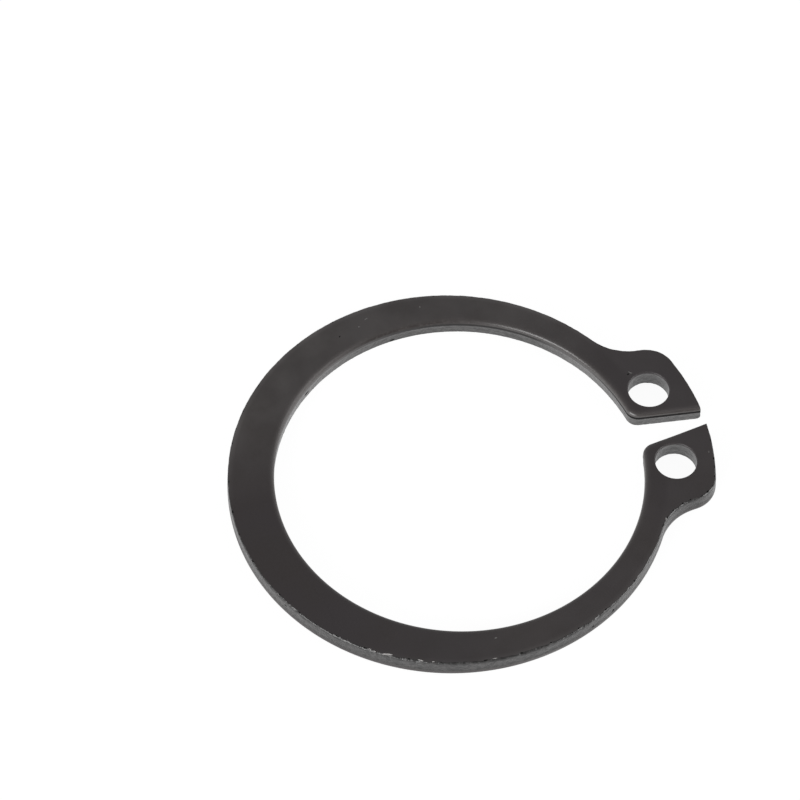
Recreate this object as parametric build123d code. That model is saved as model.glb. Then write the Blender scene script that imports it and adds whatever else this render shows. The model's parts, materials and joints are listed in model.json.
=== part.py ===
from build123d import *
import os
from math import atan2, cos, degrees, hypot, radians, sin, sqrt

# External circlip for a 24 mm shaft, unsprung. Lengths in millimetres, angles in degrees.
# It lies on Z = 0 with the shaft's axis along Z, and its gap opens towards +X.

# Ring body. Its outer circle is shifted away from the gap, so that the ring thins towards
# its lugs and bends to an even curve when it is opened.
thickness = 1.2
seat_radius = 11.1
back_width = 2.83
body_shift = 0.64

# Near the lugs the bore opens out a little and no longer presses on the shaft.
relief_angle = 20.7
relief_radius = 13.06

# Lugs. A short straight flank joins the root's hollow to the shoulder, a crown arc runs to a
# sharp tip, and the gap face slants back from there to a rounded corner at the bore.
lug_reach = 4.32
crown_shift = 0.48
shoulder_radius = 1.81
shoulder_height = 3.89
flank_length = 0.36
root_radius = 3.24
tip_gap = 1.1
gap_flare = 7.6
corner_radius = 0.8

# Holes for the pins of circlip pliers, and the webs between them and the lug's edges.
hole_diameter = 2.5
gap_web = 0.54
bore_web = 0.68

# Sheared walls. Each has a rounded entry edge, a bright land and a torn part that leans back.
# The outside was sheared from below, and the bore, the gap and the holes from above.
edge_roll = 0.25
hole_roll = 0.12
land_height = 0.29
breakout_lean = 0.07

# Edges closer to each other than this are the same edge.
same_place = 1e-4

outer_radius = seat_radius + back_width - body_shift
crown_radius = seat_radius + lug_reach - crown_shift
hole_radius = hole_diameter / 2
sheared_height = edge_roll + land_height


def heading(angle):
    return Vector(cos(radians(angle)), sin(radians(angle)))


def toward(start, goal, distance):
    return start + (goal - start).normalized() * distance


def line_crossing(point, direction, centre, radius):
    """Where a line crosses a circle, at the end that its direction points to."""
    offset = point - centre
    along = -offset.dot(direction)
    return point + direction * (along + sqrt(along**2 + radius**2 - offset.dot(offset)))


def circle_crossing(centre, radius, other, other_radius):
    """Where two circles cross, to the left of the way from the one centre to the other."""
    gap = other - centre
    along = (radius**2 - other_radius**2 + gap.dot(gap)) / (2 * gap.length)
    left = Vector(-gap.Y, gap.X).normalized()
    return toward(centre, other, along) + left * sqrt(radius**2 - along**2)


def arc_about(centre, start, end):
    """The shorter arc between two points of a circle."""
    middle = (start + end - centre * 2).normalized() * (start - centre).length
    return ThreePointArc(start, centre + middle, end)


# Centres of the arcs, for the lug above the X axis.
bore_centre = Vector(0, 0)
body_centre = Vector(-body_shift, 0)
crown_centre = Vector(crown_shift, 0)
shoulder_centre = crown_centre + Vector(
    sqrt((crown_radius - shoulder_radius) ** 2 - shoulder_height**2), shoulder_height
)
root_centre = circle_crossing(
    body_centre,
    outer_radius + root_radius,
    shoulder_centre,
    hypot(root_radius + shoulder_radius, flank_length),
)
relief_centre = heading(relief_angle) * (seat_radius - relief_radius)

# The gap face runs through the tip of the lug, and the corner and the hole follow it.
tip = crown_centre + Vector(sqrt(crown_radius**2 - (tip_gap / 2) ** 2), tip_gap / 2)
gap_direction = heading(-gap_flare)
gap_normal = heading(90 - gap_flare)
corner_centre = line_crossing(
    tip + gap_normal * corner_radius,
    gap_direction,
    relief_centre,
    relief_radius + corner_radius,
)
hole_centre = line_crossing(
    tip + gap_normal * (gap_web + hole_radius),
    gap_direction,
    bore_centre,
    seat_radius + bore_web + hole_radius,
)


def symmetric_face(upper_half):
    """Face between a half outline and its mirror image."""
    outline = Curve() + upper_half
    return make_face(outline + mirror(outline, about=Plane.XZ))


def outside_face(growth=0.0):
    """Body, roots, flanks, shoulders and crown with the gap closed, grown outwards."""
    shoulder = shoulder_radius + growth
    root = root_radius - growth
    lean = degrees(atan2(flank_length, root_radius + shoulder_radius))
    flank_normal = (root_centre - shoulder_centre).normalized().rotate(Axis.Z, -lean)
    crown_end = toward(crown_centre, shoulder_centre, crown_radius + growth)
    flank_start = shoulder_centre + flank_normal * shoulder
    flank_end = root_centre - flank_normal * root
    root_end = toward(root_centre, body_centre, root)
    return symmetric_face([
        arc_about(crown_centre, crown_centre + Vector(crown_radius + growth, 0), crown_end),
        arc_about(shoulder_centre, crown_end, flank_start),
        Line(flank_start, flank_end),
        arc_about(root_centre, flank_end, root_end),
        arc_about(body_centre, root_end, body_centre - Vector(outer_radius + growth, 0)),
    ])


def opening_face(growth=0.0):
    """Bore, reliefs and gap out past the lugs' tips, grown into the ring."""
    corner = corner_radius - growth
    mouth = tip + gap_normal * growth + gap_direction * tip_gap / 2
    gap_end = corner_centre - gap_normal * corner
    corner_end = toward(corner_centre, relief_centre, corner)
    relief_end = heading(relief_angle) * (seat_radius + growth)
    return symmetric_face([
        Line(Vector(mouth.X, 0), mouth),
        Line(mouth, gap_end),
        arc_about(corner_centre, gap_end, corner_end),
        arc_about(relief_centre, corner_end, relief_end),
        arc_about(bore_centre, relief_end, Vector(-seat_radius - growth, 0)),
    ])


def hole_face(side, growth=0.0):
    """Hole of one lug: side is 1 above the X axis and -1 below it."""
    return Pos(hole_centre.X, side * hole_centre.Y) * Circle(hole_radius + growth)


def sheared_blank():
    """Solid inside of the ring's outline, with the gap still closed."""
    land = extrude(outside_face(), sheared_height)
    land = fillet(land.faces().sort_by(Axis.Z)[0].edges(), edge_roll)
    foot = Pos(0, 0, sheared_height) * outside_face()
    top = Pos(0, 0, thickness) * outside_face(-breakout_lean)
    return land + loft([foot, top], ruled=True)


def punched(plate, upper, lower, roll):
    """Plate with one slug punched out of it from above, and the rim of its hole rounded."""
    foot = Pos(0, 0, thickness - sheared_height) * upper
    plate -= extrude(foot, sheared_height) + loft([lower, foot], ruled=True)
    rim = Pos(0, 0, thickness) * upper
    upper_edges = plate.faces().sort_by(Axis.Z)[-1].edges()
    entry = upper_edges.filter_by(lambda edge: rim.distance_to(edge @ 0.5) < same_place)
    return fillet(entry, roll)


def external_circlip():
    span = 4 * crown_radius
    plate = Pos(0, 0, thickness / 2) * Box(span, span, thickness)
    plate = punched(plate, opening_face(), opening_face(breakout_lean), edge_roll)
    for side in (1, -1):
        plate = punched(plate, hole_face(side), hole_face(side, breakout_lean), hole_roll)
    return sheared_blank() & plate


os.makedirs("parts", exist_ok=True)
export_step(external_circlip(), "parts/external_circlip.step")
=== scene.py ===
import bpy
import json
import random
from math import acos, atan2, cos, degrees, hypot, pi, radians, sin, sqrt
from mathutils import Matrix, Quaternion, Vector


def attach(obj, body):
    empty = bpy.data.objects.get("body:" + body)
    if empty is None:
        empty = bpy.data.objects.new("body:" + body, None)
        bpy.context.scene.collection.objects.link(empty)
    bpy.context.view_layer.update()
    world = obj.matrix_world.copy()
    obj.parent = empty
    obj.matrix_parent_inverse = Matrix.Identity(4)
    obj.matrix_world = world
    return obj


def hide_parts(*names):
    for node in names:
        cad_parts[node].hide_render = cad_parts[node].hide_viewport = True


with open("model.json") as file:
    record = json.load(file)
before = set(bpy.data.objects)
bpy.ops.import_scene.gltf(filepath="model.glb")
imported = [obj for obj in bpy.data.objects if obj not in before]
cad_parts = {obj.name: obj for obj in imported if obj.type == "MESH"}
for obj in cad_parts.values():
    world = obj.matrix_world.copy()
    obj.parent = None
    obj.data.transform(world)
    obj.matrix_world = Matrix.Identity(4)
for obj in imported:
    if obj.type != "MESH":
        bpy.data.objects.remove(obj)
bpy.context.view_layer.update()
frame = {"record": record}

# The ring is shaped in millimetres and brought to metres when it is done. Angles are in
# degrees, counted from the middle of the gap, and the ring's axis stands on the origin.
MM = 0.001

# Outline, as the part has it.
SEAT_RADIUS = 11.1
BACK_WIDTH = 2.83
BODY_SHIFT = 0.64
RELIEF_ANGLE = 20.7
RELIEF_RADIUS = 13.06
LUG_REACH = 4.32
CROWN_SHIFT = 0.48
SHOULDER_RADIUS = 1.81
SHOULDER_HEIGHT = 3.89
FLANK_LENGTH = 0.36
ROOT_RADIUS = 3.24
TIP_GAP = 1.1
GAP_FLARE = 7.6
CORNER_RADIUS = 0.8
THICKNESS = 1.2

# Sheared walls, measured from the face that the punch met first: a rounded edge, a smooth
# land, and a torn part that leans back into the ring.
BLANK_EDGE = {"width": 0.25, "depth": 0.24, "land": 0.42, "tail": 1, "lean": 0.01}
BORE_EDGE = {"width": 0.52, "depth": 0.31, "land": 0.51, "tail": 1.35, "lean": 0.03}
HOLE_EDGE = {"width": 0.1, "depth": 0.1, "land": 0.14, "tail": 1, "lean": 0.03}

# How deep the torn parts are broken up, by clouds of two sizes, and over which share of
# their height that sets in.
TORN_ROUGHNESS = 0.05
TORN_CLOUDS = (0.45, 0.11)
TORN_ONSET = 1 / 6

# Spacing of the points along and up the walls, how far a slug runs past the sheet, and how
# far walls stay clear of the solid's own and of each other.
GRAIN_STEP = 0.075
OVERRUN = 0.2
CLEARANCE = 0.002
COLLAR_HEIGHT = THICKNESS + OVERRUN / 2

# The torn rim on top of the outside, rubbed round: how far in, and how far below the face.
RUBBED_RIM = ((0.0, 0.065), (0.01, 0.033), (0.035, 0.01), (0.068, 0.0))

# The opening's rounded edge eases off towards the back, at the gap, and most of all on the
# lug below the X axis towards its tip.
EASED_WIDTH = 0.72
EASE_ANGLES = (22, 52)
GAP_WIDTH = 0.72
GAP_EASE = (11.3, 12.2)
TIP_WIDTH = 0.2
TIP_EASE = (12.6, 15.2)

# The torn rim is worn back in an uneven line: how far at most at each azimuth, how far down
# the wear reaches, in how many steps it changes, and the seed of its line.
WORN_RIM = (
    (0, 0.0), (165, 0.01), (190, 0.05), (205, 0.07), (225, 0.06), (240, 0.14), (262, 0.12),
    (280, 0.12), (297, 0.08), (310, 0.04), (325, 0.1), (340, 0.09), (352, 0.02), (360, 0.0),
)
WEAR_REACH = 0.14
WEAR_STEPS = 300
WEAR_SEED = 11

# Rows of points over a rounded edge and over a land.
ROUNDING_ROWS = 6
LAND_ROWS = 2

# How near its level a rim is laid flat, how near a face lies to count as flat, the upward
# share of a normal past which it does too, and heights that take in the whole ring.
RIM_REACH = 0.09
FLAT_REACH = 0.001
FLAT_NORMAL = 0.999
WHOLE_HEIGHT = (-1, 2)

# Points closer than this are one: where a wall closes on itself, and after the cuts. Faces
# that meet at more than the crease angle keep a sharp edge.
SEAM_REACH = 0.001
CLOSE_BY = 0.0001
CREASE_ANGLE = 50

# Marks of handling: place, length, width, depth and turn of each dent. A dent is a ball of
# so many columns and rows.
DENT_COLUMNS = 14
DENT_ROWS = 8
SCRATCHES = (
    ((12.02, 4.17, 1.2), 0.3, 0.09, 0.03, -52),
    ((1.02, 12.32, 1.2), 0.15, 0.08, 0.02, 80),
    ((-2.43, 12.32, 1.2), 0.22, 0.06, 0.015, 20),
    ((-3.0, 11.84, 1.2), 0.13, 0.08, 0.02, 0),
    ((14.84, -2.64, 1.2), 0.12, 0.07, 0.02, 60),
    ((-1.19, -11.78, 1.2), 0.12, 0.08, 0.02, 0),
)
PITS = (
    ((11.86, 4.1, 1.2), 0.16, 0.1, 0.05, 30),
    ((-4.34, 11.46, 1.2), 0.16, 0.09, 0.02, 50),
    ((-7.2, 8.45, 0.35), 0.5, 0.14, 0.09, 40),
    ((-1.1, 11.08, 0.12), 0.3, 0.12, 0.1, 6),
    ((-12.42, -6.2, 0.85), 0.36, 0.16, 0.13, 117),
    ((6.1, -11.42, 0.6), 0.2, 0.12, 0.1, 31),
    ((4.65, -12.2, 0.6), 0.24, 0.12, 0.1, 24),
)

# Chips out of the torn rim: how many, their seed, the share of its own stretch of the rim
# that each one's place is drawn from, and their lengths, widths and depths. At the root and
# shoulder below the X axis they follow each other closely.
CHIPS = 36
CHIP_SEED = 4
CHIP_PLACES = (0.3, 0.7)
CHIP_LENGTH = 0.32
CHIP_SHARES = (0.3, 1)
CHIP_WIDTHS = (0.05, 0.11)
CHIP_DEPTHS = (0.04, 0.09)
ROOT_CHIPS = 12
ROOT_AZIMUTHS = (322, 349)

# Bright burrs on the same rim, coloured as painted glints on bare steel: azimuth, length and
# width.
GLINT_BURRS = (
    (231.3, 0.2, 0.05), (232.7, 0.16, 0.05), (235.7, 0.7, 0.12), (244, 0.36, 0.07),
    (247.6, 0.14, 0.08), (260.5, 0.16, 0.05), (263, 0.3, 0.04), (329.2, 0.16, 0.13),
)

# Light: the tent's strength falls from one height of the sky to another, and again the
# closer its direction comes to the viewer's. Soft boxes stand at an azimuth and an
# elevation, with their power.
TENT_FADE = (0.0, 0.8, 0.75, 0.32)
VIEWER = (262, 8)
VIEWER_FADE = (0.7, 1.0, 1.0, 0.3)
LAMP_DISTANCE = 0.5
LAMP_SIZE = 0.36
LAMPS = (("left_box", 212, 12, 2.6), ("right_box", 338, 10, 2.0))

# Floor: its size and its drop below the ring in metres, its grey in the light, how white it
# looks to the camera, and how strongly it shows the shadow there.
FLOOR_SIZE = 4
FLOOR_DROP = 0.00001
FLOOR_GREY = 0.8
FLOOR_WHITE = 0.94
FLOOR_SHADOW = 0.12

# Camera: the point on the floor that it looks at, the azimuth and elevation that it looks
# from, its distance, its roll, and its focal length on its sensor.
AIM = (-1.81, 6.727, 0)
CAMERA_BEARING = (253.831, 55.223)
CAMERA_DISTANCE = 241.715
CAMERA_ROLL = 0.707
FOCAL_LENGTH = 178.444
SENSOR_WIDTH = 36

# Colours of the coat, of the edge that the punch rolled, of the land and of the torn walls.
COAT_DARK = (0.036, 0.0295, 0.031)
# The paler coat colour is painted light.
COAT_PAINTED_LIGHT = (0.078, 0.071, 0.069)
# The rim colour is a painted highlight.
COAT_RIM_HIGHLIGHT = (0.13, 0.122, 0.12)
COAT_CLOUD = (0.031, 0.027, 0.03)
BROWN_DARK = (0.03, 0.0235, 0.021)
BROWN_PALE = (0.036, 0.031, 0.03)
ROLLED_DARK = (0.034, 0.029, 0.028)
# The rolled edge's left colour is painted light and its front colour a painted highlight.
ROLLED_LEFT_LIGHT = (0.12, 0.112, 0.11)
ROLLED_SHINY = (0.04, 0.034, 0.033)
ROLLED_FRONT_HIGHLIGHT = (0.062, 0.055, 0.053)
ROLLED_CRUMBS = (0.1, 0.09, 0.088)
# The land's dark colour is painted shade and its lighter one a painted reflection.
LAND_SHADE = (0.005, 0.0045, 0.0045)
LAND_REFLECTION = (0.08, 0.075, 0.075)
OUTSIDE_DARK = (0.007, 0.006, 0.006)
OUTSIDE_PALE = (0.037, 0.0345, 0.0345)
# The inside pair is lighter than the outside pair as painted bounce light.
INSIDE_BOUNCE_DARK = (0.018, 0.017, 0.017)
INSIDE_BOUNCE_PALE = (0.058, 0.055, 0.055)
# Painted light on the inside walls beside the lugs and along the far left.
TORN_PAINTED_LIGHT = (0.2, 0.195, 0.195)

# Greys of a nick, a burr and a scratch. The nick's near black is painted shade in chips and
# pits, and the burr's light grey a painted glint on bare steel.
NICK_SHADE_GREY = 0.018
BURR_GLINT_GREY = 0.4
SCRATCH_GREY = 0.16

# How the painted light in the finishes changes from place to place, and the rolled edge's shine:
# each stop is (place along X, how much), but the shine's places lie along the way from the back
# left to the front right.
FRONT_PAINTED_LIGHT = ((-10, 0), (0, 0.45), (9, 0.36), (11, 0.1))
FAR_PAINTED_LIGHT = ((0, 1), (9, 0.8), (11, 0.1))
LAND_REFLECTION_STOPS = ((-5, 1), (-1, 0.35), (2.5, 0.2), (7.2, 0.25), (8.5, 0.9), (9.8, 0.9), (11, 0))
TORN_PAINTED_LIGHT_STOPS = ((-7, 0.5), (-3, 0), (7.4, 0), (9.3, 0.4), (10.3, 0.4), (11.2, 0.15))
ROLLED_SHINE = ((-12, 0), (-8.5, 0.2), (-4, 1))
SHINE_WAY = (1, -1, 0)

# From where to where a finish passes over: towards the far side along Y for the coat's
# painted light, into the rim inside the outer circle for its painted highlight, down the
# rolled edge from the face, and along the rolled edge for its painted light on the left and
# painted highlight at the front.
FAR_SIDE = (1, 8)
RIM_INSIDE = (0.4, 0.1)
ROLLED_DEPTH = 0.14
ROLLED_LEFT_SIDE = (-2.5, -7)
ROLLED_FRONT_SIDE = (2, 9)

# Sizes of the spots in the finishes, and depths of their relief.
BLOTCH_SIZE = 2.6
CLOUD_SIZE = 6
SPECK_SIZE = 0.2
CRUMB_SIZE = 0.26
PATCH_SIZE = 1.1
COAT_RELIEF = 0.004
TORN_RELIEF = 0.018


def compass(angle, rise=0):
    """The direction of an azimuth and an elevation."""
    level = cos(radians(rise))
    return Vector((cos(radians(angle)) * level, sin(radians(angle)) * level, sin(radians(rise))))


def bearing(vector):
    return atan2(vector.y, vector.x)


def circles_meet(centre, radius, other, other_radius):
    """The crossing of two circles that lies left of the way from one centre to the other."""
    gap = other - centre
    along = (radius**2 - other_radius**2 + gap.dot(gap)) / (2 * gap.length)
    left = Vector((-gap.y, gap.x, 0)).normalized()
    return centre + gap.normalized() * along + left * sqrt(radius**2 - along**2)


def line_meets(point, direction, centre, radius):
    """Where a line leaves a circle."""
    offset = point - centre
    along = -offset.dot(direction)
    return point + direction * (along + sqrt(along**2 + radius**2 - offset.dot(offset)))


# Arc centres of the lug above the X axis.
OUTER_RADIUS = SEAT_RADIUS + BACK_WIDTH - BODY_SHIFT
CROWN_RADIUS = SEAT_RADIUS + LUG_REACH - CROWN_SHIFT
BODY = Vector((-BODY_SHIFT, 0, 0))
CROWN = Vector((CROWN_SHIFT, 0, 0))
SHOULDER = CROWN + Vector(
    (sqrt((CROWN_RADIUS - SHOULDER_RADIUS) ** 2 - SHOULDER_HEIGHT**2), SHOULDER_HEIGHT, 0)
)
ROOT = circles_meet(
    BODY,
    OUTER_RADIUS + ROOT_RADIUS,
    SHOULDER,
    hypot(ROOT_RADIUS + SHOULDER_RADIUS, FLANK_LENGTH),
)
RELIEF = compass(RELIEF_ANGLE) * (SEAT_RADIUS - RELIEF_RADIUS)
TIP = CROWN + Vector((sqrt(CROWN_RADIUS**2 - (TIP_GAP / 2) ** 2), TIP_GAP / 2, 0))
GAP_WAY = compass(-GAP_FLARE)
GAP_NORMAL = compass(90 - GAP_FLARE)
CORNER = line_meets(
    TIP + GAP_NORMAL * CORNER_RADIUS, GAP_WAY, RELIEF, RELIEF_RADIUS + CORNER_RADIUS
)


# Hand tools


def only(piece):
    """Selects one object and nothing else."""
    bpy.ops.object.select_all(action="DESELECT")
    piece.select_set(True)
    bpy.context.view_layer.objects.active = piece


def start_section(name, start, outward, profile):
    """A section drawn in edit mode, point by point: each is (how far outward, height)."""
    bpy.ops.object.select_all(action="DESELECT")
    bpy.ops.mesh.primitive_circle_add(vertices=3, radius=1, location=(0, 0, 0))
    piece = bpy.context.object
    piece.name = piece.data.name = name
    bpy.ops.object.mode_set(mode="EDIT")
    bpy.ops.mesh.merge(type="CENTER")
    place = start + outward * profile[0][0] + Vector((0, 0, profile[0][1]))
    bpy.ops.transform.translate(value=place)
    for (grown, height), (next_grown, next_height) in zip(profile, profile[1:]):
        move = outward * (next_grown - grown) + Vector((0, 0, next_height - height))
        bpy.ops.mesh.extrude_vertices_move(TRANSFORM_OT_translate={"value": move})
    bpy.ops.mesh.select_all(action="SELECT")
    return piece


def sweep(centre, angle, radius):
    """Carries the section round a centre. Spin turns clockwise, so the angle changes sign."""
    steps = max(2, round(abs(angle) * radius / GRAIN_STEP))
    bpy.ops.mesh.spin(steps=steps, angle=-angle, center=centre, axis=(0, 0, 1))


def slide(way, length):
    """Carries the section along a straight line."""
    steps = max(1, round(length / GRAIN_STEP))
    for _ in range(steps):
        bpy.ops.mesh.extrude_region_move(TRANSFORM_OT_translate={"value": way * length / steps})


def face_outward():
    """Turns the normals of the piece in hand outwards."""
    bpy.ops.object.mode_set(mode="EDIT")
    bpy.ops.mesh.select_all(action="SELECT")
    bpy.ops.mesh.normals_make_consistent(inside=False)
    bpy.ops.object.mode_set(mode="OBJECT")


def mirror_half(piece):
    """Adds the other half of a wall, below the gap's middle plane."""
    bpy.ops.object.mode_set(mode="OBJECT")
    half = piece.modifiers.new("other_half", "MIRROR")
    half.use_axis = (False, True, False)
    half.merge_threshold = SEAM_REACH
    bpy.ops.object.modifier_apply(modifier=half.name)


def close_walls(piece, foot, top):
    """Lays both rims of a standing wall flat and fills them, and what else is open."""
    bpy.ops.object.mode_set(mode="EDIT")
    for level in (foot, top):
        bpy.ops.mesh.select_mode(type="VERT")
        bpy.ops.mesh.select_all(action="DESELECT")
        bpy.ops.mesh.select_non_manifold()
        bpy.ops.object.mode_set(mode="OBJECT")
        rim = {v.index for v in piece.data.vertices if v.select}
        rim = {i for i in rim if abs(piece.data.vertices[i].co.z - level) < RIM_REACH}
        bpy.ops.object.mode_set(mode="EDIT")
        bpy.ops.mesh.select_all(action="DESELECT")
        bpy.ops.object.mode_set(mode="OBJECT")
        for i in rim:
            piece.data.vertices[i].select = True
        bpy.ops.object.mode_set(mode="EDIT")
        bpy.ops.transform.resize(value=(1, 1, 0), center_override=(0, 0, level))
        bpy.ops.mesh.edge_face_add()
    bpy.ops.mesh.select_all(action="DESELECT")
    bpy.ops.mesh.select_non_manifold()
    bpy.ops.mesh.edge_face_add()
    face_outward()


def clean_cut(piece):
    """Splits faces of more than four sides, and merges what a cut left too close together."""
    only(piece)
    bpy.ops.object.mode_set(mode="EDIT")
    bpy.ops.mesh.select_mode(type="FACE")
    bpy.ops.mesh.select_all(action="DESELECT")
    bpy.ops.mesh.select_face_by_sides(number=4, type="GREATER")
    bpy.ops.mesh.quads_convert_to_tris(quad_method="FIXED", ngon_method="CLIP")
    bpy.ops.mesh.select_mode(type="VERT")
    bpy.ops.mesh.select_all(action="SELECT")
    bpy.ops.mesh.remove_doubles(threshold=CLOSE_BY)
    bpy.ops.mesh.dissolve_degenerate(threshold=CLOSE_BY)
    bpy.ops.object.mode_set(mode="OBJECT")


def drawn_in(edge, turn):
    """How far a rounded edge draws in where it has turned so far down from the face."""
    return edge["width"] * (1 - sin(turn)) ** edge["tail"]


def wall_profile(edge, rim=((0, 0),)):
    """(growth, depth) from the entry face to the far face of one sheared wall.

    The rim that ends it is given as (how far it draws back, height above the far face).
    """
    points = []
    for i in range(ROUNDING_ROWS + 1):
        turn = pi / 2 * i / ROUNDING_ROWS
        points.append((drawn_in(edge, turn), edge["depth"] * (1 - cos(turn))))
    for i in range(1, LAND_ROWS + 1):
        points.append((0, edge["depth"] + (edge["land"] - edge["depth"]) * i / LAND_ROWS))
    torn = THICKNESS - rim[0][1] - edge["land"]
    rows = round(torn / GRAIN_STEP)
    for i in range(1, rows + 1):
        points.append((edge["lean"] * i / rows, edge["land"] + torn * i / rows))
    return points + [(edge["lean"] + back, THICKNESS - height) for back, height in rim[1:]]


def slug_profile(edge):
    """The same wall as seen by the slug, punched from above and run past both faces."""
    walls = [(grown, THICKNESS - depth) for grown, depth in wall_profile(edge)]
    walls[0] = (walls[0][0], THICKNESS + CLEARANCE)
    collar = (edge["width"] + CLEARANCE, COLLAR_HEIGHT)
    return [collar] + walls + [(edge["lean"], -OVERRUN)]


def tear(piece, low, high, strength):
    """Breaks up the torn part of a wall: coarse waves, then grain, both into the ring."""
    torn = piece.vertex_groups.new(name="torn")
    for vertex in piece.data.vertices:
        depth = (vertex.co.z - low) / (high - low)
        if depth > 0:
            torn.add([vertex.index], min(1, depth / TORN_ONSET), "REPLACE")
    for size in TORN_CLOUDS:
        clouds = bpy.data.textures.new("torn_grain", "CLOUDS")
        clouds.noise_scale = size
        clouds.noise_depth = 2
        waves = piece.modifiers.new("torn_grain", "DISPLACE")
        waves.texture = clouds
        waves.texture_coords = "LOCAL"
        waves.vertex_group = torn.name
        waves.mid_level = 0
        waves.strength = strength / len(TORN_CLOUDS)
        bpy.ops.object.modifier_apply(modifier=waves.name)


def finish_bands(piece, bands):
    """Gives the piece its finishes: each band is (lowest height, highest height, finish)."""
    names = []
    for low, high, finish in bands:
        if finish.name not in names:
            names.append(finish.name)
            piece.data.materials.append(finish)
        number = names.index(finish.name)
        for face in piece.data.polygons:
            if low < face.center.z < high and abs(face.normal.z) < FLAT_NORMAL:
                face.material_index = number


# The ring


def wear_rim(blank):
    """Draws the torn rim back in an uneven line, furthest at the rim itself."""
    luck = random.Random(WEAR_SEED)
    bites = [luck.random() for _ in range(WEAR_STEPS + 1)]
    for vertex in blank.data.vertices:
        share = (vertex.co.z - THICKNESS + WEAR_REACH) / WEAR_REACH
        if share <= 0:
            continue
        azimuth = degrees(bearing(vertex.co)) % 360
        step, part = divmod(azimuth / 360 * WEAR_STEPS, 1)
        bite = bites[int(step)] * (1 - part) + bites[int(step) + 1] * part
        for (low, first), (high, last) in zip(WORN_RIM, WORN_RIM[1:]):
            if low <= azimuth <= high:
                depth = first + (last - first) * (azimuth - low) / (high - low)
        inward = -Vector((vertex.normal.x, vertex.normal.y, 0)).normalized()
        vertex.co += inward * depth * bite * min(1, share)


def sheared_blank(steel, torn):
    """The ring's outside with the gap still closed, sheared from below."""
    wall = wall_profile(BLANK_EDGE, RUBBED_RIM)
    profile = [(-grown - CLEARANCE, depth) for grown, depth in wall]
    start = CROWN + Vector((CROWN_RADIUS, 0, 0))
    blank = start_section("circlip_ring", start, Vector((1, 0, 0)), profile)
    crown_turn = bearing(SHOULDER - CROWN)
    lean = atan2(FLANK_LENGTH, ROOT_RADIUS + SHOULDER_RADIUS)
    flank_turn = bearing(ROOT - SHOULDER) - lean
    root_turn = bearing(ROOT - BODY)
    sweep(CROWN, crown_turn, CROWN_RADIUS)
    sweep(SHOULDER, flank_turn - crown_turn, SHOULDER_RADIUS)
    slide(Vector((-sin(flank_turn), cos(flank_turn), 0)), FLANK_LENGTH)
    sweep(ROOT, root_turn - flank_turn, ROOT_RADIUS)
    sweep(BODY, pi - root_turn, OUTER_RADIUS)
    mirror_half(blank)
    face_outward()
    tear(blank, BLANK_EDGE["land"], THICKNESS, -TORN_ROUGHNESS)
    wear_rim(blank)
    close_walls(blank, 0, THICKNESS)
    finish_bands(blank, [(*WHOLE_HEIGHT, steel), (BLANK_EDGE["land"], THICKNESS, torn)])
    return blank


def ease_rounding(slug):
    """Narrows the opening's rounded edge towards the back, at the gap and at one tip."""
    for vertex in slug.data.vertices:
        depth = THICKNESS - vertex.co.z
        if depth > BORE_EDGE["depth"]:
            continue
        place = vertex.co
        angle = degrees(atan2(abs(place.y), place.x))
        back = (angle - EASE_ANGLES[0]) / (EASE_ANGLES[1] - EASE_ANGLES[0])
        gap = (place.x - GAP_EASE[0]) / (GAP_EASE[1] - GAP_EASE[0])
        if back > 0:
            out = Vector((place.x, place.y, 0)).normalized()
            loss = min(1, back) * (1 - EASED_WIDTH)
        elif gap > 0:
            side = 1 if place.y > 0 else -1
            out = Vector((GAP_NORMAL.x, side * GAP_NORMAL.y, 0))
            loss = min(1, gap) * (1 - GAP_WIDTH)
            tip = (place.x - TIP_EASE[0]) / (TIP_EASE[1] - TIP_EASE[0])
            if side < 0 and tip > 0:
                loss = 1 - GAP_WIDTH + min(1, tip) * (GAP_WIDTH - TIP_WIDTH)
        else:
            continue
        turn = acos(1 - max(0, depth) / BORE_EDGE["depth"])
        vertex.co -= out * drawn_in(BORE_EDGE, turn) * loss


def opening_slug(steel, rolled, land, torn):
    """The slug of bore, reliefs and gap, punched from above."""
    start = TIP + GAP_WAY * TIP_GAP / 2
    slug = start_section("opening_slug", start, GAP_NORMAL, slug_profile(BORE_EDGE))
    gap_end = CORNER - GAP_NORMAL * CORNER_RADIUS
    slide(-GAP_WAY, (start - gap_end).length)
    corner_turn = bearing(RELIEF - CORNER) % (2 * pi) - bearing(-GAP_NORMAL) % (2 * pi)
    sweep(CORNER, corner_turn, CORNER_RADIUS)
    sweep(RELIEF, radians(RELIEF_ANGLE) - bearing(CORNER - RELIEF), RELIEF_RADIUS)
    sweep(Vector((0, 0, 0)), pi - radians(RELIEF_ANGLE), SEAT_RADIUS)
    mirror_half(slug)
    ease_rounding(slug)
    face_outward()
    foot = THICKNESS - BORE_EDGE["land"]
    tear(slug, foot, 0, TORN_ROUGHNESS)
    close_walls(slug, -OVERRUN, COLLAR_HEIGHT)
    line = THICKNESS - BORE_EDGE["depth"]
    finish_bands(slug, [
        (*WHOLE_HEIGHT, steel),
        (line, THICKNESS, rolled),
        (foot, line, land),
        (-OVERRUN, foot, torn),
    ])
    return slug


def hole_slug(place, radius, name, steel, torn):
    """The slug of one hole for a pliers' pin."""
    profile = slug_profile(HOLE_EDGE)
    slug = start_section(name, place + Vector((radius, 0, 0)), Vector((1, 0, 0)), profile)
    sweep(place, 2 * pi, radius)
    bpy.ops.mesh.select_all(action="SELECT")
    bpy.ops.mesh.remove_doubles(threshold=SEAM_REACH)
    face_outward()
    foot = THICKNESS - HOLE_EDGE["land"]
    tear(slug, foot, 0, TORN_ROUGHNESS)
    close_walls(slug, -OVERRUN, COLLAR_HEIGHT)
    finish_bands(slug, [(*WHOLE_HEIGHT, steel), (-OVERRUN, foot, torn)])
    return slug


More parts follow.
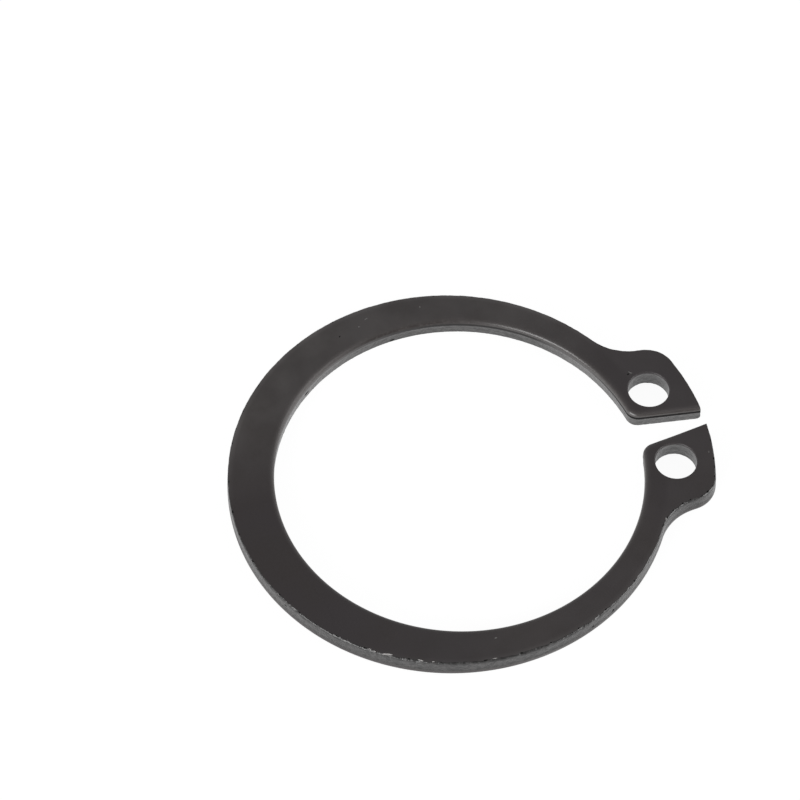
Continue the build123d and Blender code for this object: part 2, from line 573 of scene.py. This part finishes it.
def punch_out(ring, slug):
    """Takes a slug or another cutter out of the ring, which gets its finishes in the cut."""
    only(ring)
    cut = ring.modifiers.new("punch", "BOOLEAN")
    cut.operation = "DIFFERENCE"
    cut.solver = "MANIFOLD"
    cut.material_mode = "TRANSFER"
    cut.object = slug
    bpy.ops.object.modifier_apply(modifier=cut.name)
    bpy.data.objects.remove(slug)


def dent(place, length, width, depth, turn):
    """A small stretched ball whose middle stands on the place."""
    bpy.ops.object.select_all(action="DESELECT")
    bpy.ops.mesh.primitive_uv_sphere_add(
        segments=DENT_COLUMNS, ring_count=DENT_ROWS, radius=1, location=place
    )
    ball = bpy.context.object
    ball.scale = (length / 2, width / 2, depth)
    ball.rotation_euler = (0, 0, radians(turn))
    bpy.ops.object.transform_apply(location=True, rotation=True, scale=True)
    return ball


def one_cutter(shapes, finish=None):
    """Joins shapes that lie apart, so that they are cut in one go."""
    bpy.ops.object.select_all(action="DESELECT")
    for shape in shapes:
        shape.select_set(True)
    bpy.context.view_layer.objects.active = shapes[0]
    bpy.ops.object.join()
    cutter = bpy.context.object
    if finish:
        cutter.data.materials.append(finish)
    return cutter


def rim_places(ring):
    """Points of the outer rim on top in their order, each with the rim's way in degrees."""
    places = []
    for edge in ring.data.edges:
        first, last = [ring.data.vertices[i].co for i in edge.vertices]
        if min(first.z, last.z) > THICKNESS - CLEARANCE:
            middle, along = (first + last) / 2, last - first
            places.append((middle, degrees(bearing(along))))
    return sorted(places, key=lambda found: bearing(found[0]))


def chip_rim(ring, dark, bright):
    """Chips the torn rim: nicks, closest at one root, coloured near black as painted shade, and
    a few burrs coloured light as painted glints.
    """
    luck = random.Random(CHIP_SEED)
    root, rest = [], []
    for place, turn in rim_places(ring):
        azimuth = degrees(bearing(place)) % 360
        at_root = ROOT_AZIMUTHS[0] < azimuth < ROOT_AZIMUTHS[1]
        (root if at_root else rest).append((place, turn))
    nicks = []
    for places, count in ((rest, CHIPS), (root, ROOT_CHIPS)):
        for i in range(count):
            place, turn = places[int((i + luck.uniform(*CHIP_PLACES)) * len(places) / count)]
            length = CHIP_LENGTH * luck.uniform(*CHIP_SHARES)
            width = luck.uniform(*CHIP_WIDTHS)
            nicks.append(dent(place, length, width, luck.uniform(*CHIP_DEPTHS), turn))
    burrs = []
    for azimuth, length, width in GLINT_BURRS:
        goal = compass(azimuth)
        place, turn = max(root + rest, key=lambda found: found[0].normalized().dot(goal))
        burrs.append(dent(place, length, width, width / 2, turn))
    return [one_cutter(nicks, dark), one_cutter(burrs, bright)]


def settle_normals(ring):
    """Shades the walls smooth between their sharp edges, and the two faces quite flat."""
    bpy.ops.object.shade_smooth_by_angle(angle=radians(CREASE_ANGLE))
    even = ring.modifiers.new("even_faces", "WEIGHTED_NORMAL")
    even.keep_sharp = True
    even.weight = 100
    bpy.ops.object.modifier_apply(modifier=even.name)
    bpy.ops.object.mode_set(mode="EDIT")
    bpy.ops.mesh.select_mode(type="FACE")
    bpy.ops.mesh.select_all(action="DESELECT")
    bpy.ops.object.mode_set(mode="OBJECT")
    for face in ring.data.polygons:
        levels = [ring.data.vertices[i].co.z / MM for i in face.vertices]
        face.select = max(levels) < FLAT_REACH or min(levels) > THICKNESS - FLAT_REACH
    bpy.ops.object.mode_set(mode="EDIT")
    bpy.ops.mesh.set_normals_from_faces(keep_sharp=True)
    bpy.ops.mesh.select_mode(type="VERT")
    bpy.ops.object.mode_set(mode="OBJECT")


def circlip():
    """The whole ring: sheared outside, punched opening and holes, then its wear."""
    steel, rolled, land = phosphated_steel(), rolled_edge(), sheared_land()
    torn_outside = torn_wall("torn_outside", OUTSIDE_DARK, OUTSIDE_PALE)
    # The inside walls are coloured lighter than the outside as painted bounce light.
    torn = torn_wall("torn_inside_bounce_lit", INSIDE_BOUNCE_DARK, INSIDE_BOUNCE_PALE)
    # Painted light on the inside walls beside the lugs and on the far left.
    paint_light_at_lugs(torn)
    # Nicks and pits are coloured near black as painted shade in their hollows.
    nick = bare_metal("nick", NICK_SHADE_GREY, 0.15)
    # Burrs are coloured light as painted glints on bare steel.
    bright = bare_metal("bright_burr", BURR_GLINT_GREY, 0.5)
    ring = sheared_blank(steel, torn_outside)
    wear = chip_rim(ring, nick, bright)
    wear.append(one_cutter([dent(*mark) for mark in PITS], nick))
    scratched = bare_metal("scratched_steel", SCRATCH_GREY, 0.5)
    wear.append(one_cutter([dent(*mark) for mark in SCRATCHES], scratched))
    slugs = [opening_slug(steel, rolled, land, torn)]
    for mount in frame["record"]["mounts"]:
        if mount["kind"] == "bore":
            place = Vector(mount["pos_m"]) / MM
            place.z = 0
            slugs.append(hole_slug(place, mount["dims"]["r_mm"], mount["name"], steel, torn))
    for cutter in [one_cutter(slugs)] + wear:
        punch_out(ring, cutter)
    clean_cut(ring)
    ring.scale = (MM, MM, MM)
    bpy.ops.object.transform_apply(location=True, rotation=True, scale=True)
    settle_normals(ring)
    return ring


# Finishes


def new_finish(name, roughness, specular):
    """A material with its shader, and coordinates on the piece in millimetres."""
    material = bpy.data.materials.new(name)
    material.use_nodes = True
    nodes, links = material.node_tree.nodes, material.node_tree.links
    shader = nodes["Principled BSDF"]
    shader.inputs["Roughness"].default_value = roughness
    shader.inputs["Specular IOR Level"].default_value = specular
    place = nodes.new("ShaderNodeTexCoord")
    in_mm = nodes.new("ShaderNodeMapping")
    in_mm.inputs["Scale"].default_value = (1 / MM, 1 / MM, 1 / MM)
    links.new(place.outputs["Object"], in_mm.inputs["Vector"])
    return material, shader, in_mm.outputs["Vector"]


def noise(tree, place, size, detail=2.0):
    """Noise from 0 to 1 whose spots are about as many millimetres across."""
    texture = tree.nodes.new("ShaderNodeTexNoise")
    texture.inputs["Scale"].default_value = 1 / size
    texture.inputs["Detail"].default_value = detail
    tree.links.new(place, texture.inputs["Vector"])
    return texture.outputs["Fac"]


def spread(tree, value, low, high, lowest=0.0, highest=1.0):
    """Stretches the part of a value from low to high over a range."""
    stretch = tree.nodes.new("ShaderNodeMapRange")
    for name, number in (
        ("From Min", low), ("From Max", high), ("To Min", lowest), ("To Max", highest)
    ):
        if isinstance(number, (int, float)):
            stretch.inputs[name].default_value = number
        else:
            tree.links.new(number, stretch.inputs[name])
    tree.links.new(value, stretch.inputs["Value"])
    return stretch.outputs["Result"]


def blend(tree, share, first, second):
    """A mix of two colours, each a socket or three numbers."""
    mix = tree.nodes.new("ShaderNodeMix")
    mix.data_type = "RGBA"
    tree.links.new(share, mix.inputs["Factor"])
    for name, colour in (("A", first), ("B", second)):
        socket = next(s for s in mix.inputs if s.name == name and s.type == "RGBA")
        if isinstance(colour, tuple):
            socket.default_value = (*colour, 1)
        else:
            tree.links.new(colour, socket)
    return next(s for s in mix.outputs if s.type == "RGBA")


def grain(tree, shader, height, depth):
    """Fine relief, as deep as so many millimetres."""
    bump = tree.nodes.new("ShaderNodeBump")
    bump.inputs["Strength"].default_value = 1
    bump.inputs["Distance"].default_value = depth * MM
    tree.links.new(height, bump.inputs["Height"])
    tree.links.new(bump.outputs["Normal"], shader.inputs["Normal"])


def axis_of(tree, place, axis):
    """One coordinate of the place."""
    split = tree.nodes.new("ShaderNodeSeparateXYZ")
    tree.links.new(place, split.inputs["Vector"])
    return split.outputs[axis]


def reach_along(tree, place, way):
    """How far the place lies along a direction."""
    dot = tree.nodes.new("ShaderNodeVectorMath")
    dot.operation = "DOT_PRODUCT"
    dot.inputs[1].default_value = way
    tree.links.new(place, dot.inputs[0])
    return dot.outputs["Value"]


def steps_along(tree, value, stops):
    """A value that runs through stops: each is (where, how much)."""
    low, high = stops[0][0], stops[-1][0]
    ramp = tree.nodes.new("ShaderNodeValToRGB")
    for _ in stops[2:]:
        ramp.color_ramp.elements.new(0.5)
    for element, (where, share) in zip(ramp.color_ramp.elements, stops):
        element.position = (where - low) / (high - low)
        element.color = (share, share, share, 1)
    tree.links.new(spread(tree, value, low, high), ramp.inputs["Fac"])
    return ramp.outputs["Color"]


def joined(tree, way, first, second):
    """Two values worked into one."""
    node = tree.nodes.new("ShaderNodeMath")
    node.operation = way
    tree.links.new(first, node.inputs[0])
    tree.links.new(second, node.inputs[1])
    return node.outputs["Value"]


def oiled_coat(tree, place):
    """The coat's colour, roughness and specks.

    It is blotched brown and grey. It is paler across the middle and on the far side as painted
    light, and paler still at its rim as a painted highlight.
    """
    blotches = spread(tree, noise(tree, place, BLOTCH_SIZE, 3), 0.36, 0.64)
    cloud = spread(tree, noise(tree, place, CLOUD_SIZE), 0.35, 0.65)
    specks = spread(tree, noise(tree, place, SPECK_SIZE, 3), 0.3, 0.7)
    along = axis_of(tree, place, "X")
    # Painted light: the coat turns paler across the middle along X and towards the far side
    # along Y.
    front = steps_along(tree, along, FRONT_PAINTED_LIGHT)
    narrower = steps_along(tree, along, FAR_PAINTED_LIGHT)
    far = spread(tree, axis_of(tree, place, "Y"), *FAR_SIDE)
    painted_light_share = joined(tree, "MAXIMUM", front, joined(tree, "MULTIPLY", far, narrower))
    coat = blend(tree, painted_light_share, COAT_DARK, COAT_PAINTED_LIGHT)
    # Painted highlight along the outer rim of the face, strongest where the painted light is.
    from_body = tree.nodes.new("ShaderNodeVectorMath")
    from_body.operation = "DISTANCE"
    tree.links.new(place, from_body.inputs[0])
    from_body.inputs[1].default_value = (-BODY_SHIFT, 0, THICKNESS)
    outer, inner = [OUTER_RADIUS - inside for inside in RIM_INSIDE]
    rim = spread(tree, from_body.outputs["Value"], outer, inner, 0, 0.9)
    coat = blend(tree, rim, coat, blend(tree, painted_light_share, coat, COAT_RIM_HIGHLIGHT))
    brown = blend(tree, specks, BROWN_DARK, BROWN_PALE)
    coat = blend(tree, spread(tree, blotches, 0, 1, 0, 0.5), coat, brown)
    coat = blend(tree, spread(tree, cloud, 0, 1, 0.35, 0), coat, COAT_CLOUD)
    return coat, spread(tree, cloud, 0, 1, 0.46, 0.38), specks


def phosphated_steel():
    """Dark oiled coat of the faces, with the painted light and painted rim highlight of
    oiled_coat.
    """
    material, shader, place = new_finish("phosphated_steel", 0.42, 0.5)
    tree = material.node_tree
    coat, roughness, specks = oiled_coat(tree, place)
    tree.links.new(coat, shader.inputs["Base Color"])
    tree.links.new(roughness, shader.inputs["Roughness"])
    grain(tree, shader, specks, COAT_RELIEF)
    return material


def rolled_edge():
    """The coat drawn over by the punch: shiny and dark, with painted light along the far left
    and a painted highlight towards the front right.
    """
    material, shader, place = new_finish("rolled_edge", 0.34, 0.6)
    tree = material.node_tree
    across = reach_along(tree, place, SHINE_WAY)
    crumbs = spread(tree, noise(tree, place, SPECK_SIZE, 3), 0.5, 0.8)
    shine = steps_along(tree, across, ROLLED_SHINE)
    height = axis_of(tree, place, "Z")
    depth = spread(tree, height, THICKNESS, THICKNESS - ROLLED_DEPTH)
    coat, roughness, _ = oiled_coat(tree, place)
    # Painted light on the far left of the rolled edge and a painted highlight towards its front
    # right.
    left = spread(tree, axis_of(tree, place, "X"), *ROLLED_LEFT_SIDE)
    front = spread(tree, across, *ROLLED_FRONT_SIDE)
    drawn = blend(tree, left, ROLLED_DARK, ROLLED_LEFT_LIGHT)
    drawn = blend(tree, shine, drawn, ROLLED_SHINY)
    drawn = blend(tree, front, drawn, ROLLED_FRONT_HIGHLIGHT)
    drawn = blend(tree, spread(tree, crumbs, 0, 1, 0, 0.5), drawn, ROLLED_CRUMBS)
    tree.links.new(blend(tree, depth, coat, drawn), shader.inputs["Base Color"])
    specular = spread(tree, shine, 0, 1, 0.2, 0.8)
    specular = spread(tree, depth, 0, 1, 0.5, specular)
    tree.links.new(specular, shader.inputs["Specular IOR Level"])
    drawn_roughness = spread(tree, shine, 0, 1, 0.5, 0.35)
    roughness = spread(tree, depth, 0, 1, roughness, drawn_roughness)
    tree.links.new(roughness, shader.inputs["Roughness"])
    grain(tree, shader, crumbs, COAT_RELIEF)
    return material


def sheared_land():
    """Where the punch rubbed the wall: black as painted shade at the lugs, and lighter as a
    painted reflection along the bore.
    """
    material, shader, place = new_finish("sheared_land", 0.5, 0.15)
    tree = material.node_tree
    # Painted shade at the lugs passing into painted reflection along the bore.
    painted_light_share = steps_along(tree, axis_of(tree, place, "X"), LAND_REFLECTION_STOPS)
    tree.links.new(blend(tree, painted_light_share, LAND_SHADE, LAND_REFLECTION), shader.inputs["Base Color"])
    shine = spread(tree, painted_light_share, 0, 1, 0.1, 0.6)
    tree.links.new(shine, shader.inputs["Specular IOR Level"])
    return material


def torn_wall(name, dark, light):
    """Rough grey fracture, paler than the coat and bright where it is seen aslant."""
    material, shader, place = new_finish(name, 0.33, 0.8)
    tree = material.node_tree
    crumbs = spread(tree, noise(tree, place, CRUMB_SIZE, 4), 0.39, 0.61)
    patches = spread(tree, noise(tree, place, PATCH_SIZE), 0.38, 0.62)
    coat = blend(tree, crumbs, dark, light)
    coat = blend(tree, spread(tree, patches, 0, 1, 0, 0.5), coat, dark)
    tree.links.new(coat, shader.inputs["Base Color"])
    grain(tree, shader, crumbs, TORN_RELIEF)
    return material


def paint_light_at_lugs(material):
    """Paints light into a finish beside the lugs and along the far left of the ring."""
    tree = material.node_tree
    shader = tree.nodes["Principled BSDF"]
    coat = shader.inputs["Base Color"].links[0].from_socket
    place = next(n for n in tree.nodes if n.type == "MAPPING").outputs["Vector"]
    painted_light_share = steps_along(tree, axis_of(tree, place, "X"), TORN_PAINTED_LIGHT_STOPS)
    tree.links.new(blend(tree, painted_light_share, coat, TORN_PAINTED_LIGHT), shader.inputs["Base Color"])


def bare_metal(name, grey, specular):
    """Plain finish of a nick, a burr or a scratch, a little warmer than grey."""
    material, shader, _ = new_finish(name, 0.38, specular)
    shader.inputs["Base Color"].default_value = (grey, grey * 0.97, grey * 0.95, 1)
    return material


# Studio


def matte(tree, grey):
    """A plain matte shader."""
    diffuse = tree.nodes.new("ShaderNodeBsdfDiffuse")
    diffuse.inputs["Color"].default_value = (grey, grey, grey, 1)
    return diffuse.outputs["BSDF"]


def studio_floor():
    """Pale floor: plain white to the camera and in reflections, but it takes the shadow."""
    bpy.ops.object.select_all(action="DESELECT")
    bpy.ops.mesh.primitive_plane_add(size=FLOOR_SIZE, location=(0, 0, -FLOOR_DROP))
    floor = bpy.context.object
    floor.name = "studio_floor"
    material = bpy.data.materials.new("pale_floor")
    material.use_nodes = True
    tree = material.node_tree
    tree.nodes.remove(tree.nodes["Principled BSDF"])
    white = tree.nodes.new("ShaderNodeEmission")
    white.inputs["Strength"].default_value = FLOOR_WHITE
    seen = tree.nodes.new("ShaderNodeAddShader")
    tree.links.new(white.outputs[0], seen.inputs[0])
    tree.links.new(matte(tree, FLOOR_SHADOW), seen.inputs[1])
    rays = tree.nodes.new("ShaderNodeLightPath").outputs
    looked_at = joined(tree, "MAXIMUM", rays["Is Camera Ray"], rays["Is Glossy Ray"])
    looked_at = joined(tree, "MAXIMUM", looked_at, rays["Is Transmission Ray"])
    mix = tree.nodes.new("ShaderNodeMixShader")
    tree.links.new(looked_at, mix.inputs[0])
    tree.links.new(matte(tree, FLOOR_GREY), mix.inputs[1])
    tree.links.new(seen.outputs[0], mix.inputs[2])
    tree.links.new(mix.outputs[0], tree.nodes["Material Output"].inputs["Surface"])
    floor.data.materials.append(material)


def soft_lamp(name, azimuth, elevation, power):
    """A square soft box that faces the ring."""
    way = compass(azimuth, elevation)
    turn = (-way).to_track_quat("-Z", "Y").to_euler()
    bpy.ops.object.light_add(type="AREA", location=way * LAMP_DISTANCE, rotation=turn)
    lamp = bpy.context.object
    lamp.name = name
    lamp.data.shape = "SQUARE"
    lamp.data.size = LAMP_SIZE
    lamp.data.energy = power


def studio_light():
    """A tent that is white near the floor and dim overhead and in front, with soft boxes."""
    world = bpy.data.worlds.new("studio")
    bpy.context.scene.world = world
    world.use_nodes = True
    tree = world.node_tree
    sky = tree.nodes.new("ShaderNodeTexCoord").outputs["Generated"]
    overhead = spread(tree, axis_of(tree, sky, "Z"), *TENT_FADE)
    in_front = spread(tree, reach_along(tree, sky, compass(*VIEWER)), *VIEWER_FADE)
    background = tree.nodes["Background"].inputs
    background["Color"].default_value = (1, 1, 1, 1)
    tree.links.new(joined(tree, "MULTIPLY", overhead, in_front), background["Strength"])
    for name, azimuth, elevation, power in LAMPS:
        soft_lamp(name, azimuth, elevation, power)


def photo_camera():
    """The photograph's viewpoint."""
    back = compass(*CAMERA_BEARING)
    place = (Vector(AIM) + back * CAMERA_DISTANCE) * MM
    bpy.ops.object.camera_add(location=place)
    camera = bpy.context.object
    roll = Quaternion((0, 0, 1), radians(CAMERA_ROLL))
    camera.rotation_euler = (back.to_track_quat("Z", "Y") @ roll).to_euler()
    camera.data.sensor_width = SENSOR_WIDTH
    camera.data.lens = FOCAL_LENGTH
    camera.data.clip_start = 0.01
    camera.data.clip_end = 10
    bpy.context.scene.camera = camera


ring = circlip()
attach(ring, "root")
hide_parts("external_circlip")
studio_floor()
studio_light()
photo_camera()
bpy.context.scene.view_settings.view_transform = "Standard"
